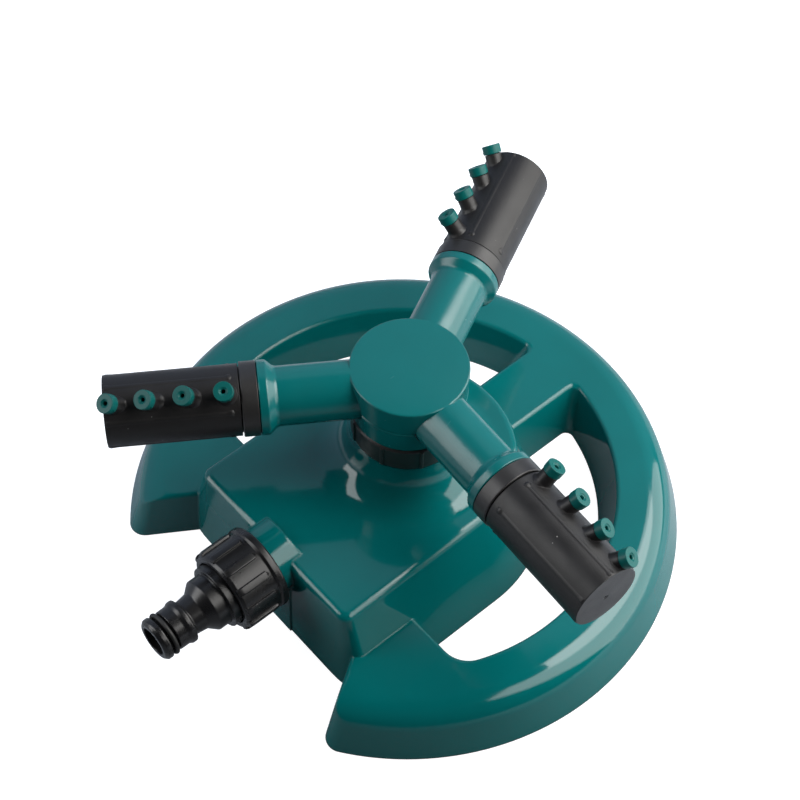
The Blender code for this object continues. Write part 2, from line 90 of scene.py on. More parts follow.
# ---------------------------------------------------------------- materials
class Nodes:
    """A small helper round one material's node tree."""

    def __init__(self, name):
        self.material = bpy.data.materials.new(name)
        self.material.use_nodes = True
        self.tree = self.material.node_tree
        self.shader = self.tree.nodes["Principled BSDF"]
        self.place = self.make("ShaderNodeTexCoord").outputs["Object"]

    def make(self, kind, **settings):
        node = self.tree.nodes.new(kind)
        for key, value in settings.items():
            setattr(node, key, value)
        return node

    def link(self, source, target):
        self.tree.links.new(source, target)

    def noise(self, scale, detail=3.0, rough=0.5, stretch=None):
        node = self.make("ShaderNodeTexNoise")
        node.inputs["Scale"].default_value = scale
        node.inputs["Detail"].default_value = detail
        node.inputs["Roughness"].default_value = rough
        place = self.place
        if stretch:
            mapping = self.make("ShaderNodeMapping")
            mapping.inputs["Scale"].default_value = stretch
            self.link(place, mapping.inputs["Vector"])
            place = mapping.outputs["Vector"]
        self.link(place, node.inputs["Vector"])
        return node.outputs["Fac"]

    def spread(self, source, low, high, to_low, to_high):
        node = self.make("ShaderNodeMapRange")
        node.inputs["From Min"].default_value = low
        node.inputs["From Max"].default_value = high
        node.inputs["To Min"].default_value = to_low
        node.inputs["To Max"].default_value = to_high
        self.link(source, node.inputs["Value"])
        return node.outputs["Result"]

    def mix(self, factor, first, second):
        node = self.make("ShaderNodeMix", data_type="RGBA")
        for socket, value in ((node.inputs[6], first), (node.inputs[7], second)):
            if isinstance(value, tuple):
                socket.default_value = (*value, 1.0)
            else:
                self.link(value, socket)
        self.link(factor, node.inputs[0])
        return node.outputs[2]

    def math(self, operation, first, second):
        node = self.make("ShaderNodeMath", operation=operation)
        for socket, value in ((node.inputs[0], first), (node.inputs[1], second)):
            if isinstance(value, (int, float)):
                socket.default_value = value
            else:
                self.link(value, socket)
        return node.outputs[0]

    def bump(self, height, distance, strength, normal=None):
        node = self.make("ShaderNodeBump")
        node.inputs["Distance"].default_value = distance
        node.inputs["Strength"].default_value = strength
        self.link(height, node.inputs["Height"])
        if normal is not None:
            self.link(normal, node.inputs["Normal"])
        return node.outputs["Normal"]

    def edges(self, radius):
        """(rounded normal, mask that is 1 on a sharp edge)."""
        bevel = self.make("ShaderNodeBevel", samples=4)
        bevel.inputs["Radius"].default_value = radius
        geometry = self.make("ShaderNodeNewGeometry")
        dot = self.make("ShaderNodeVectorMath", operation="DOT_PRODUCT")
        self.link(bevel.outputs["Normal"], dot.inputs[0])
        self.link(geometry.outputs["Normal"], dot.inputs[1])
        return bevel.outputs["Normal"], self.spread(dot.outputs["Value"], 0.99, 0.8, 0.0, 1.0)


def plastic(name, colour, roughness, grain, grain_depth, round_edges, wear=0.12, dust=0.0, wave=0.05,
            shine=0.5):
    """Moulded plastic: faint flow marks, uneven gloss, waves, grain, rubbed edges and, with dust, specks."""
    n = Nodes(name)
    normal, edge = n.edges(round_edges)
    flow = n.noise(22.0, 4.0, 0.55)
    dark = tuple(c * 0.95 for c in colour)
    light = tuple(min(1.0, c * 1.05) for c in colour)
    shade = n.mix(n.spread(flow, 0.35, 0.65, 0.0, 1.0), dark, light)
    rubbed = tuple(min(1.0, c * 1.25 + 0.004) for c in colour)
    patches = n.spread(n.noise(240.0, 3.0), 0.42, 0.62, 0.0, wear)
    shade = n.mix(n.math("MULTIPLY", edge, patches), shade, rubbed)
    gloss = n.noise(75.0, 5.0, 0.6)
    scuff = n.noise(900.0, 2.0, 0.5, stretch=(1.0, 0.06, 0.35))
    rough = n.spread(gloss, 0.3, 0.7, roughness * 0.86, roughness * 1.16)
    rough = n.math("ADD", rough, n.spread(scuff, 0.62, 0.75, 0.0, 0.05))
    rough = n.math("ADD", rough, n.math("MULTIPLY", edge, 0.04))
    if dust:
        specks = n.make("ShaderNodeTexVoronoi", feature="F1")
        specks.inputs["Scale"].default_value = 330.0
        n.link(n.place, specks.inputs["Vector"])
        near = n.spread(specks.outputs["Distance"], 0.05, 0.085, 1.0, 0.0)
        few = n.spread(n.noise(140.0, 2.0), 0.6, 0.66, 0.0, dust)
        shade = n.mix(n.math("MULTIPLY", near, few), shade, (0.3, 0.3, 0.29))
    n.link(shade, n.shader.inputs["Base Color"])
    n.link(rough, n.shader.inputs["Roughness"])
    waves = n.bump(n.noise(48.0, 2.0), 0.0006, wave, normal)
    n.link(n.bump(n.noise(grain, 3.0, 0.6), grain_depth, 0.35, waves), n.shader.inputs["Normal"])
    n.shader.inputs["Specular IOR Level"].default_value = shine
    return n.material


TEAL_COLOUR = (0.0006, 0.105, 0.107)
TEAL = plastic("teal_gloss", TEAL_COLOUR, 0.075, 700.0, 0.00001, 0.0011, wear=0.2)
SATIN = plastic("teal_satin", TEAL_COLOUR, 0.22, 1300.0, 0.00003, 0.0004, wear=0.4, wave=0.5)
BLACK = plastic("black_satin", (0.0165, 0.016, 0.016), 0.37, 2600.0, 0.00004, 0.0003, wear=0.5, dust=0.6)
TUBE = plastic("tube_satin", (0.0098, 0.0093, 0.0095), 0.42, 1900.0, 0.00008, 0.0003, wear=0.5, dust=0.8,
               wave=0.15, shine=0.42)
GLOSSY = plastic("black_gloss", (0.008, 0.008, 0.0085), 0.28, 1800.0, 0.00003, 0.0003, wear=0.5, dust=0.4)
TIP = plastic("tip_teal", (0.0008, 0.088, 0.082), 0.36, 2200.0, 0.00003, 0.00025, wear=0.5, shine=0.22)
RUBBER = plastic("seal_rubber", (0.010, 0.010, 0.010), 0.62, 3200.0, 0.00004, 0.0002, wear=0.2)
WASHER = plastic("slip_washer", (0.72, 0.71, 0.68), 0.38, 2500.0, 0.00003, 0.0002)


# ---------------------------------------------------------------- shape helpers
def obj_of(name, bm):
    bmesh.ops.remove_doubles(bm, verts=bm.verts, dist=1e-4)
    bmesh.ops.recalc_face_normals(bm, faces=bm.faces)
    bmesh.ops.scale(bm, vec=(MM, MM, MM), verts=bm.verts)
    mesh = bpy.data.meshes.new(name)
    bm.to_mesh(mesh)
    bm.free()
    made = bpy.data.objects.new(name, mesh)
    LOOKS.objects.link(made)
    return made


def stitch(bm, rows):
    """Quads between neighbouring rows of equally many points."""
    count = len(rows[0])
    for low, high in zip(rows, rows[1:]):
        for i in range(count):
            j = (i + 1) % count
            bm.faces.new((low[i], low[j], high[j], high[i]))


def loft(loops, closed=False, matrix=None):
    """A skin over the loops, capped at both ends unless it is closed, when the last loop meets the first."""
    bm = bmesh.new()
    matrix = matrix or Matrix()
    rows = [[bm.verts.new(matrix @ Vector(p)) for p in loop] for loop in loops]
    stitch(bm, rows + rows[:1] if closed else rows)
    if not closed:
        bm.faces.new(rows[0][::-1])
        bm.faces.new(rows[-1])
    return bm


def soften(profile, radius, closed, steps=4):
    """Rounds every corner of a (radius, height) profile."""
    found = []
    count = len(profile)
    for i, point in enumerate(profile):
        here = Vector(point)
        if not closed and i in (0, count - 1):
            found.append(tuple(here))
            continue
        before = Vector(profile[i - 1]) - here
        after = Vector(profile[(i + 1) % count]) - here
        reach = min(radius, before.length * 0.45, after.length * 0.45)
        if before.angle(after, math.pi) > math.radians(165) or reach < 0.01:
            found.append(tuple(here))
            continue
        first = here + before.normalized() * reach
        last = here + after.normalized() * reach
        for k in range(steps + 1):
            t = k / steps
            found.append(tuple(first * (1 - t) ** 2 + here * 2 * t * (1 - t) + last * t * t))
    return found


def lathe(profile, segments, closed=True, matrix=None, soft=0.0):
    """Turns (radius, height) points round the local Z axis."""
    if soft:
        profile = soften(profile, soft, closed)
    loops = []
    for radius, height in profile:
        loop = []
        for i in range(segments):
            angle = 2 * math.pi * i / segments
            loop.append((radius * math.cos(angle), radius * math.sin(angle), height))
        loops.append(loop)
    return loft(loops, closed, matrix)


def rod(radius, start, stop, segments, matrix=None):
    return lathe([(radius, start), (radius, stop)], segments, closed=False, matrix=matrix)


def box(x0, x1, y0, y1, z0, z1, matrix=None):
    loop = [(x0, y0), (x1, y0), (x1, y1), (x0, y1)]
    return loft([[(x, y, z) for x, y in loop] for z in (z0, z1)], matrix=matrix)


def combine(target, tool, operation):
    step = target.modifiers.new("Boolean", "BOOLEAN")
    step.operation = operation
    step.solver = "EXACT"
    step.object = tool
    graph = bpy.context.evaluated_depsgraph_get()
    result = bpy.data.meshes.new_from_object(target.evaluated_get(graph))
    target.modifiers.clear()
    target.data = result
    bpy.data.objects.remove(tool, do_unlink=True)


def add(target, bm):
    combine(target, obj_of("tool", bm), "UNION")


def cut(target, bm):
    combine(target, obj_of("tool", bm), "DIFFERENCE")


def dress(made, material, slot, body, *nodes, crease=32.0):
    """Material, smooth shading with flats kept flat, and its place among the CAD bodies."""
    mesh = made.data
    mesh.materials.clear()
    mesh.materials.append(material)
    bm = bmesh.new()
    bm.from_mesh(mesh)
    bmesh.ops.dissolve_degenerate(bm, edges=bm.edges, dist=1e-7)
    for face in bm.faces:
        face.smooth = True
        face.material_index = 0
    for edge in bm.edges:
        edge.smooth = edge.is_manifold and edge.calc_face_angle(0.0) < math.radians(crease)
    bm.to_mesh(mesh)
    bm.free()
    step = made.modifiers.new("Weighted normals", "WEIGHTED_NORMAL")
    step.keep_sharp = True
    step.weight = 80
    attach(made, body)
    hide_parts(*nodes)


def arc(centre, radius, start, stop, steps):
    """Points on a circle, both ends included, angles in degrees."""
    found = []
    for i in range(steps + 1):
        angle = math.radians(start + (stop - start) * i / steps)
        found.append((centre[0] + radius * math.cos(angle), centre[1] + radius * math.sin(angle)))
    return found


# ---------------------------------------------------------------- base shell
def ring_levels(inset):
    """(ring radius, ring z, end offset, end z) of each loop of the horseshoe, from the ground up."""
    draft = math.atan(SLOPE)
    ground = RING_GROUND_R - inset / math.cos(draft)
    top = RING_TOP - inset
    end = inset / math.cos(math.atan(END_DRAFT))
    levels = []
    if inset:
        levels.append((ground + SLOPE, -1.0, end - END_DRAFT, -1.0))
    else:
        levels.append((ground, 0.0, end, 0.0))
    steps = 3 if inset else 12
    for i in range(steps + 1):
        turn = i / steps
        angle = draft + (math.pi / 2 - draft) * turn
        radius = RING_FILLET - inset
        lip = max(LIP - inset, 0.4)
        rise = math.atan(END_DRAFT) + (math.pi / 2 - math.atan(END_DRAFT)) * turn
        levels.append((
            RING_FILLET_R + radius * math.cos(angle),
            RING_TOP - RING_FILLET + radius * math.sin(angle),
            end + END_DRAFT * (top - lip) + lip * (1 - math.cos(rise)),
            top - lip + lip * math.sin(rise),
        ))
    return levels


def horseshoe_loop(ring_r, ring_z, end_e, end_z, steps, turns):
    """One closed loop: outer arc, rounded ends, and a chord hidden inside the box."""
    tilt = math.degrees(math.atan(END_DRAFT * RING_TOP / RING_INNER_R))
    line = math.radians(-END_ANGLE - tilt)
    along = Vector((math.cos(line), math.sin(line)))
    inward = Vector((-along.y, along.x))
    corner = END_CORNER
    reach = math.sqrt((ring_r - corner) ** 2 - (end_e + corner) ** 2)
    centre = along * reach + inward * (end_e + corner)
    first = math.degrees(math.atan2(centre.y, centre.x))
    last = math.degrees(math.atan2(-inward.y, -inward.x))
    if last > first:
        last -= 360.0
    right = []
    for i, (x, y) in enumerate(arc(centre, corner, last, first, turns)):
        share = i / turns
        right.append((x, y, end_z + (ring_z - end_z) * share * share * (3 - 2 * share)))
    inner = along * END_HIDDEN + inward * end_e
    right.insert(0, (inner.x, inner.y, end_z))
    ring = [(x, y, ring_z) for x, y in arc((0, 0), ring_r, first, 180.0 - first, steps)[1:-1]]
    left = [(-x, y, z) for x, y, z in reversed(right)]
    return right + ring + left


def window_loop(side, grow, z, fine):
    """A window between hub and ring; grow widens it all round."""
    radius = RING_INNER_R + grow
    front = WINDOW_FRONT - grow
    spoke = (SPOKE_RIGHT if side > 0 else -SPOKE_LEFT) - grow
    near, far = WINDOW_CORNER, 3.0
    first = Vector((math.sqrt((radius - near) ** 2 - (front + near) ** 2), front + near))
    second = Vector((spoke + far, math.sqrt((radius - far) ** 2 - (spoke + far) ** 2)))
    turn = math.degrees(math.atan2(first.y, first.x))
    back = math.degrees(math.atan2(second.y, second.x))
    loop = [(26.0, front), *arc(first, near, -90.0, turn, 4 * fine)]
    loop += arc((0, 0), radius, turn, back, 16 * fine)[1:-1]
    loop += [*arc(second, far, back, 180.0, 3 * fine), (spoke, 27.0)]
    return [(side * x, y, z) for x, y in loop]


def window_levels(side, inset):
    """Loops of one window from the ground up, with its rounded lip on the outer skin."""
    if inset:
        return [
            window_loop(side, inset - RING_INNER_DRAFT * (RING_TOP + 1.0), -1.0, 1),
            window_loop(side, inset, RING_TOP - inset, 1),
        ]
    loops = [window_loop(side, -RING_INNER_DRAFT * (RING_TOP - LIP), 0.0, 3)]
    for i in range(7):
        angle = math.pi / 2 * i / 6
        grow = LIP * (1 - math.cos(angle))
        loops.append(window_loop(side, grow, RING_TOP - LIP + LIP * math.sin(angle), 3))
    return loops


def slab(inset):
    """The horseshoe, its webs and the spoke, with both windows."""
    bm = bmesh.new()
    steps, turns = (48, 4) if inset else (150, 10)
    skins = [[horseshoe_loop(*level, steps, turns) for level in ring_levels(inset)]]
    skins += [window_levels(side, inset) for side in (1, -1)]
    bottoms = []
    tops = []
    for loops in skins:
        rows = [[bm.verts.new(p) for p in loop] for loop in loops]
        stitch(bm, rows)
        for row, ends in ((rows[0], bottoms), (rows[-1], tops)):
            ends.extend(bm.edges.get(pair) for pair in zip(row, row[1:] + row[:1]))
    for ends in (bottoms, tops):
        bmesh.ops.triangle_fill(bm, use_beauty=True, use_dissolve=False, edges=ends)
    return bm


def box_loop(side_out, front_out, z, fine):
    """Box front and straight sides, then the half circle of the hub; the offsets grow it."""
    centre = (BOX_HALF - BOX_CORNER, BOX_FRONT + BOX_CORNER)
    corner = []
    for x, y in arc((0, 0), 1.0, -90.0, 0.0, 2 * fine):
        corner.append((centre[0] + (BOX_CORNER + side_out) * x, centre[1] + (BOX_CORNER + front_out) * y))
    hub = arc((0, 0), BOX_HALF + side_out, 0.0, 180.0, 20 * fine)
    left = [(-x, y) for x, y in reversed(corner)]
    return [(x, y, z) for x, y in corner + hub + left]


def boss_profile(inset, steps):
    """(radius, z) of the flared boss from its foot up, a concave quarter ellipse."""
    found = []
    for i in range(steps + 1):
        angle = math.pi / 2 * i / steps
        radius = BOSS_FOOT_R - (BOSS_FOOT_R - BOSS_TOP_R) * math.sin(angle) - inset
        found.append((radius, BOX_TOP + (BOSS_TOP - BOX_TOP) * (1 - math.cos(angle)) - inset))
    return found


def block(inset):
    """Box, hub and flared boss as one closed skin."""
    fine = 1 if inset else 4
    draft, front_draft = math.atan(SLOPE), math.atan(FRONT_SLOPE)
    top = BOX_TOP - inset
    radius = max(BOX_FILLET - inset, 0.6)
    low = -1.0 if inset else 0.0
    side_in, front_in = inset / math.cos(draft), inset / math.cos(front_draft)
    loops = [box_loop(SLOPE * (BOX_TOP - low) - side_in, FRONT_SLOPE * (BOX_TOP - low) - front_in, low, fine)]
    side_c = SLOPE * inset - side_in - radius * (1 / math.cos(draft) - SLOPE)
    front_c = FRONT_SLOPE * inset - front_in - radius * (1 / math.cos(front_draft) - FRONT_SLOPE)
    steps = 2 * fine
    for i in range(steps + 1):
        angle = draft + (math.pi / 2 - draft) * i / steps
        reach = radius * math.cos(angle)
        loops.append(box_loop(side_c + reach, front_c + reach, top - radius + radius * math.sin(angle), fine))
    bm = bmesh.new()
    rows = [[bm.verts.new(p) for p in loop] for loop in loops]
    profile = boss_profile(inset, 5 * fine)
    if not inset:
        profile += [(RISER_R + 0.8, BOSS_TOP), (RISER_R, BOSS_TOP + 0.6), (RISER_R, RISER_TOP - 0.5)]
        profile += [(RISER_R - 0.5, RISER_TOP)]
    segments = 28 * fine
    turned = []
    for reach, z in profile:
        ring = []
        for i in range(segments):
            angle = 2 * math.pi * i / segments
            ring.append(bm.verts.new((reach * math.cos(angle), reach * math.sin(angle), z)))
        turned.append(ring)
    stitch(bm, rows)
    stitch(bm, turned)
    bm.faces.new(rows[0][::-1])
    bm.faces.new(turned[-1])
    edges = []
    for ring in (rows[-1], turned[0]):
        for i in range(len(ring)):
            ends = (ring[i], ring[(i + 1) % len(ring)])
            edges.append(bm.edges.get(ends) or bm.edges.new(ends))
    bmesh.ops.triangle_fill(bm, use_beauty=True, use_dissolve=False, edges=edges)
    return bm


def inlet_pipe():
    """Outside of the hose inlet: its back end leans like the other walls and has a rounded rim."""
    loops = []
    for radius, y, lean in (
        (THREAD_ROOT - 0.6, PIPE_END, 0.0),
        (THREAD_ROOT, PIPE_END + 0.6, 0.0),
        (THREAD_ROOT, THREAD_START, 0.0),
        (PIPE_R - 0.3, THREAD_START + 0.1, 0.0),
        (PIPE_R, THREAD_START + 0.4, 0.0),
        (PIPE_R, PIPE_BACK - 0.7, PIPE_LEAN),
        (PIPE_R - 0.1, PIPE_BACK - 0.35, PIPE_LEAN),
        (PIPE_R - 0.3, PIPE_BACK - 0.1, PIPE_LEAN),
        (PIPE_R - 0.7, PIPE_BACK, PIPE_LEAN),
    ):
        loop = []
        for i in range(96):
            angle = 2 * math.pi * i / 96
            z = PIPE_Z + radius * math.sin(angle)
            loop.append((radius * math.cos(angle), y - lean * (z - BOX_TOP), z))
        loops.append(loop)
    return loft(loops)


def thread(steps=30):
    """Right-hand helical ridge on the hose inlet."""
    loops = []
    total = int(THREAD_TURNS * steps)
    for i in range(total + 1):
        angle = 2 * math.pi * i / steps
        y = PIPE_END + 0.9 + THREAD_PITCH * i / steps
        fade = min(1.0, i / (0.5 * steps), (total - i) / (0.5 * steps))
        crest = THREAD_ROOT - 0.2 + (THREAD_CREST - THREAD_ROOT + 0.2) * max(fade, 0.05)
        buried = THREAD_ROOT - 0.5
        loop = []
        for radius, shift in ((buried, -0.62), (crest, -0.2), (crest, 0.2), (buried, 0.62)):
            loop.append((radius * math.sin(angle), y + shift, PIPE_Z + radius * math.cos(angle)))
        loops.append(loop)
    return loft(loops)


def along_y(y):
    """Local Z runs along the inlet's axis, towards -Y, from y."""
    return Matrix.Translation((0, y, PIPE_Z)) @ Matrix.Rotation(math.pi / 2, 4, "X")


def build_base():
    shell = obj_of("base_moulding", slab(0.0))
    add(shell, block(0.0))
    cavity = obj_of("cavity", slab(WALL))
    add(cavity, block(WALL))
    combine(shell, cavity, "DIFFERENCE")
    add(shell, inlet_pipe())
    add(shell, rod(WATER_R, 0.0, 62.0, 32, along_y(-1.0)))
    foot_post = [(5.4, 0.0), (6.0, 0.6), (6.0, 14.0), (RISER_WALL_R, 18.0), (RISER_WALL_R, 58.0)]
    add(shell, lathe(foot_post, 48, closed=False))
    panel = [[(s * half, y, z) for s, y in ((-1, back), (1, back), (1, out), (-1, out))]
             for half, out, back, z in ((13.7, -67.2, -65.2, 0.0), (11.6, -65.2, -63.2, PIPE_Z))]
    add(shell, loft(panel))
    for stop, top, turn in ((42.3, 32.0, 0.0), (42.3, 32.0, 180.0), (86.0, 19.0, 91.5)):
        add(shell, box(STIFFENER_START, stop, -STIFFENER / 2, STIFFENER / 2, STIFFENER_FOOT, top,
                       matrix=Matrix.Rotation(math.radians(turn), 4, "Z")))
    add(shell, thread())
    for radius, start, stop in ((PIPE_BORE, -PIPE_STEP, 84.0), (WATER_BORE, 0.0, 70.0)):
        cut(shell, rod(radius, start, stop, 48, along_y(0.0)))
    cut(shell, rod(RISER_BORE, 21.0, 70.0, 48))
    dress(shell, TEAL, "green_gloss", "base", "base_shell")


# ---------------------------------------------------------------- bearing
def build_bearing():
    low, high = NUT_BOTTOM + 0.5, NUT_TOP - 0.7
    nut = obj_of("ring_nut_knurled", lathe([
        (18.0, NUT_BOTTOM), (NUT_R - 0.5, NUT_BOTTOM), (NUT_R, low), (NUT_R, high), (NUT_R - 0.7, NUT_TOP),
        (9.3, NUT_TOP), (9.3, 65.9), (18.0, 65.9),
    ], 108, soft=0.3))
    for i in range(NUT_RIBS):
        turn = Matrix.Rotation(math.radians(NUT_RIB_START + 360.0 / NUT_RIBS * i), 4, "Z")
        add(nut, rib(NUT_R - 1.0, NUT_R + 0.6, 0.65, low, high, 0.35, turn))
    dress(nut, BLACK, "black_satin", "base", "ring_nut")


def rib(inner, outer, half, low, high, soft, matrix):
    """A straight rib with rounded top edges, standing out along local X and running along local Z."""
    section = [(inner, -half), (outer - soft, -half)]
    section += [(outer - soft + soft * math.sin(a), -half + soft - soft * math.cos(a))
                for a in (math.pi / 8, math.pi / 4, math.pi * 3 / 8, math.pi / 2)]
    section += [(x, -y) for x, y in reversed(section)]
    loops = []
    for z, drop in ((low, soft), (low + soft * 0.3, soft * 0.3), (low + soft, 0.0),
                    (high - soft, 0.0), (high - soft * 0.3, soft * 0.3), (high, soft)):
        loops.append([(min(x, outer - drop), y, z) for x, y in section])
    return loft(loops, matrix=matrix)


# ---------------------------------------------------------------- rotor
def arm_frame(name, twist=0.0):
    """Local X along the arm, local Z up, turned by the twist towards the arm's leading side."""
    turn = Matrix.Rotation(math.radians(ARM_ANGLES[name]), 4, "Z")
    roll = Matrix.Rotation(math.radians(-twist), 4, "X")
    return Matrix.Translation((0, 0, ARM_Z)) @ turn @ roll


def to_x():
    """Turns a lathe's Z axis on to X."""
    return Matrix.Rotation(math.pi / 2, 4, "Y")


def build_rotor():
    rim = HEAD_TOP - 0.2
    edge = arc((HEAD_R - HEAD_EDGE, rim - HEAD_EDGE), HEAD_EDGE, 0.0, 84.0, 6)
    dome = [(radius, rim + HEAD_RISE * (1 - (radius / HEAD_R) ** 2))
            for radius in (18.0, 15.0, 12.0, 9.0, 6.0, 3.0)]
    side = [(HEAD_R - 0.35, HEAD_SEAM), (HEAD_R - 0.15, HEAD_SEAM + 0.2)]
    head = obj_of("rotor_moulding", lathe([*side, *edge, *dome], 144, closed=False))
    for name in ARM_ANGLES:
        add(head, lathe([
            (ARM_R, 14.0), (ARM_R, 46.3), (11.0, 47.2), (12.9, 49.3), (FLANGE_R, FLANGE_START),
            (FLANGE_R, FLANGE_END), (SEAT_R, FLANGE_END), (SEAT_R, SEAT_END), (NECK_R, SEAT_END),
            (NECK_R, GROOVE_START), (GROOVE_R, GROOVE_START), (GROOVE_R, GROOVE_END), (NECK_R, GROOVE_END),
            (NECK_R, NECK_END),
        ], 72, closed=False, matrix=arm_frame(name) @ to_x(), soft=0.35))
    cut(head, rod(HEAD_HOLLOW_R, 60.0, HEAD_HOLLOW_TOP, 64))
    for name in ARM_ANGLES:
        cut(head, rod(ARM_BORE, 12.0, 70.0, 40, arm_frame(name) @ to_x()))
    dress(head, SATIN, "green_gloss", "rotor", "rotor_head")

    cover = obj_of("rotor_cover", lathe([
        (7.3, 69.3), (19.9, 69.3), (20.3, 69.7), (20.85, 79.2), (21.05, 79.5), (21.05, 79.9),
        (20.75, COVER_TOP), (18.3, COVER_TOP), (18.1, 71.5), (7.3, 71.5),
    ], 144, soft=0.15))
    for name in ARM_ANGLES:
        cut(cover, rod(ARM_R + 0.25, 13.0, 30.0, 72, arm_frame(name) @ to_x()))
    dress(cover, SATIN, "green_gloss", "rotor", "rotor_lower_cover")

    for name in ARM_ANGLES:
        collar = obj_of("collar_" + name, lathe([
            (12.75, 53.0), (FLANGE_R, 53.0), (FLANGE_R, 58.5), (12.95, 58.8), (11.9, 58.8), (11.9, 57.75),
            (12.75, 57.75),
        ], 96, matrix=arm_frame(name) @ to_x(), soft=0.12))
        dress(collar, BLACK, "black_satin", "rotor", "tube_collar_" + name)


# ---------------------------------------------------------------- spray tubes and nozzle tips
def stub_frame(number):
    place = Matrix.Translation((STUB_AT[number], 0, 0))
    return place @ Matrix.Rotation(math.radians(STUB_LEAN[number]), 4, "Y")


def ridge(angle):
    """A low moulded bead along the tube, higher where it starts near the collar and at the outer end."""
    loops = []
    for along, share in ((61.5, 0.0), (61.65, 0.7), (62.0, 1.4), (62.5, 1.9), (63.0, 1.7), (63.6, 1.0),
                         (64.2, 0.8), (102.5, 0.9), (104.2, 1.6), (105.0, 1.5), (105.35, 0.0)):
        half = BEAD_HALF * min(max(share, 0.2), 1.1)
        height = BEAD_HEIGHT * share + BEAD_ROOT
        loop = []
        for k in range(9):
            turn = math.pi * k / 8
            out = TUBE_R - BEAD_ROOT + height * math.sin(turn) ** 0.7
            loop.append((along, half * math.cos(turn), out))
        loops.append(loop)
    return loft(loops, matrix=Matrix.Rotation(math.radians(angle), 4, "X"))


def build_tubes():
    for name in ARM_ANGLES:
        place = arm_frame(name, ARM_TWIST[name])
        tube = lathe([
            (TUBE_BORE, 55.0), (SEAT_R, 55.0), (SEAT_R, 57.4), (11.5, 57.4), (11.5, TUBE_START),
            (TUBE_R, TUBE_START), (TUBE_R, TUBE_END), (1.15, TUBE_END), (0.75, TUBE_END - 0.25),
            (0.35, TUBE_END), (0.3, TUBE_END - 0.5), (0.3, TUBE_END - 1.6),
        ], 96, closed=False, matrix=to_x(), soft=0.22)
        tube = obj_of("tube_moulding_" + name, tube)
        cut(tube, rod(TUBE_BORE, 50.0, TUBE_END - 2.2, 48, to_x()))
        for k in range(BEADS):
            add(tube, ridge(30.0 + 360.0 / BEADS * k))
        for number in range(len(STUB_AT)):
            add(tube, lathe([
                (STUB_R + 1.1, 10.9), (STUB_R + 0.55, 12.55), (STUB_R + 0.15, 13.1), (STUB_R, 13.8),
                (STUB_R, TIP_BACK - 0.3), (STUB_R - 0.15, TIP_BACK - 0.15), (SPIGOT_R, TIP_BACK - 0.15),
                (SPIGOT_R, STUB_LENGTH),
            ], 40, closed=False, matrix=stub_frame(number)))
            cut(tube, rod(STUB_BORE, 8.0, 24.0, 20, stub_frame(number)))
        to_metres = Matrix.Scale(MM, 4)
        tube.data.transform(to_metres @ place @ to_metres.inverted())
        dress(tube, TUBE, "black_satin", "tube_" + name, "spray_tube_" + name)
        for number in range(len(STUB_AT)):
            tip = lathe([
                (TIP_INNER_R, TIP_BACK), (TIP_R - 0.06, TIP_BACK), (TIP_R, TIP_BACK + 1.5),
                (TIP_R, TIP_FRONT), (1.5, TIP_FRONT), (1.25, TIP_FRONT - 0.3), (0.8, TIP_FRONT - 0.45),
                (TIP_HOLE, TIP_FRONT - 1.2), (TIP_HOLE, STUB_LENGTH + 0.25),
                (TIP_INNER_R, STUB_LENGTH + 0.25),
            ], 40, matrix=place @ stub_frame(number), soft=0.25)
            tip = obj_of(f"tip_{name}{number + 1}", tip)
            gate = box(-0.4, 0.4, 3.2, 3.6, TIP_BACK + 0.5, TIP_BACK + 1.2,
                       matrix=place @ stub_frame(number) @ Matrix.Rotation(math.radians(35.0), 4, "Z"))
            add(tip, gate)
            dress(tip, TIP, "tip_teal", "tube_" + name, f"nozzle_tip_{name}{number + 1}")


# ---------------------------------------------------------------- hose connector
def grip(inner, outer, half, start, stop, matrix):
    """A coupling-nut rib with a rounded end towards the base, running along -Y from the nut's middle."""
    loops = []
    count = 12
    for i in range(count + 1):
        share = i / count
        y = start + (stop - start) * share
        lead = min(1.0, (y - start) / 1.5)
        tail = min(1.0, (stop - y) / 1.2)
        width = half * math.sqrt(max(0.04, 1 - (1 - lead) ** 2))
        height = outer - 0.9 * (1 - math.sqrt(max(0.0, 1 - (1 - lead) ** 2))) - 0.5 * (1 - tail)
        loop = [(width, inner), (width, height - 0.45), (width - 0.12, height - 0.15), (width * 0.7, height)]
        loop += [(-x, z) for x, z in reversed(loop)]
        loops.append([(x, -y, z) for x, z in loop])
    return loft(loops, matrix=matrix)


